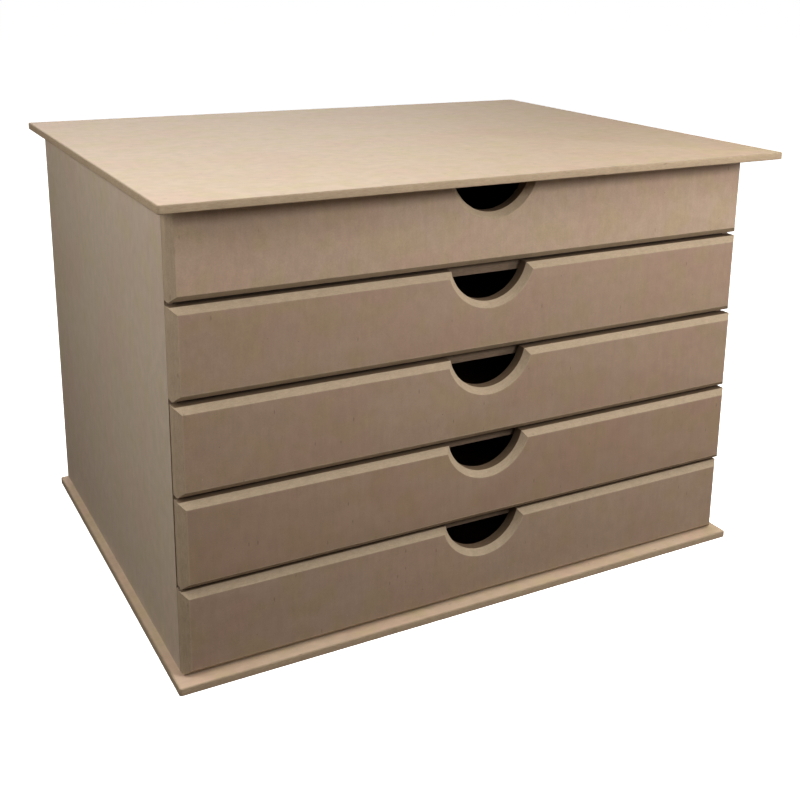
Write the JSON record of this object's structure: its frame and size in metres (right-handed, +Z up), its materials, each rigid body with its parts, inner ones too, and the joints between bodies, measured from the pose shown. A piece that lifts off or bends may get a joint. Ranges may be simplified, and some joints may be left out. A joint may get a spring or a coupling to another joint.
{
  "type": "craft stamp storage drawers",
  "caption": "Bare board cabinet with shallow drawers for craft stamps; chamfered overlay fronts, each with a half-round finger notch, under an overhanging flat top.",
  "frame": {"origin": "centre of the bounding box at the surface the cabinet stands on, under the middle of the top panel", "axes": "+X to the right along the drawer fronts, +Y towards the back, +Z up; the drawers open towards -Y"},
  "size_m": [0.36, 0.282, 0.2457],
  "materials": {
    "mdf_panel": "bare sanded MDF",
    "mdf_front": "bare routed MDF",
    "mdf_box": "bare MDF"
  },
  "bodies": {
    "cabinet": {"base_panel": "mdf_panel", "left_side": "mdf_panel", "right_side": "mdf_panel", "back_panel": "mdf_panel", "top_panel": "mdf_panel", "shelf_1": "mdf_panel", "shelf_2": "mdf_panel", "shelf_3": "mdf_panel", "shelf_4": "mdf_panel"},
    "drawer_1": {"drawer_1_front": "mdf_front", "drawer_1_left": "mdf_box", "drawer_1_right": "mdf_box", "drawer_1_back": "mdf_box", "drawer_1_bottom": "mdf_box"},
    "drawer_2": {"drawer_2_front": "mdf_front", "drawer_2_left": "mdf_box", "drawer_2_right": "mdf_box", "drawer_2_back": "mdf_box", "drawer_2_bottom": "mdf_box"},
    "drawer_3": {"drawer_3_front": "mdf_front", "drawer_3_left": "mdf_box", "drawer_3_right": "mdf_box", "drawer_3_back": "mdf_box", "drawer_3_bottom": "mdf_box"},
    "drawer_4": {"drawer_4_front": "mdf_front", "drawer_4_left": "mdf_box", "drawer_4_right": "mdf_box", "drawer_4_back": "mdf_box", "drawer_4_bottom": "mdf_box"},
    "drawer_5": {"drawer_5_front": "mdf_front", "drawer_5_left": "mdf_box", "drawer_5_right": "mdf_box", "drawer_5_back": "mdf_box", "drawer_5_bottom": "mdf_box"}
  },
  "joints": [
    {"name": "drawer_1_slide", "type": "slide", "parent": "cabinet", "child": "drawer_1", "axis": [0, -1, 0], "range_m": [0, 0.19]},
    {"name": "drawer_2_slide", "type": "slide", "parent": "cabinet", "child": "drawer_2", "axis": [0, -1, 0], "range_m": [0, 0.19]},
    {"name": "drawer_3_slide", "type": "slide", "parent": "cabinet", "child": "drawer_3", "axis": [0, -1, 0], "range_m": [-0.0012, 0.1888]},
    {"name": "drawer_4_slide", "type": "slide", "parent": "cabinet", "child": "drawer_4", "axis": [0, -1, 0], "range_m": [-0.0016, 0.1884]},
    {"name": "drawer_5_slide", "type": "slide", "parent": "cabinet", "child": "drawer_5", "axis": [0, -1, 0], "range_m": [0, 0.19]}
  ]
}
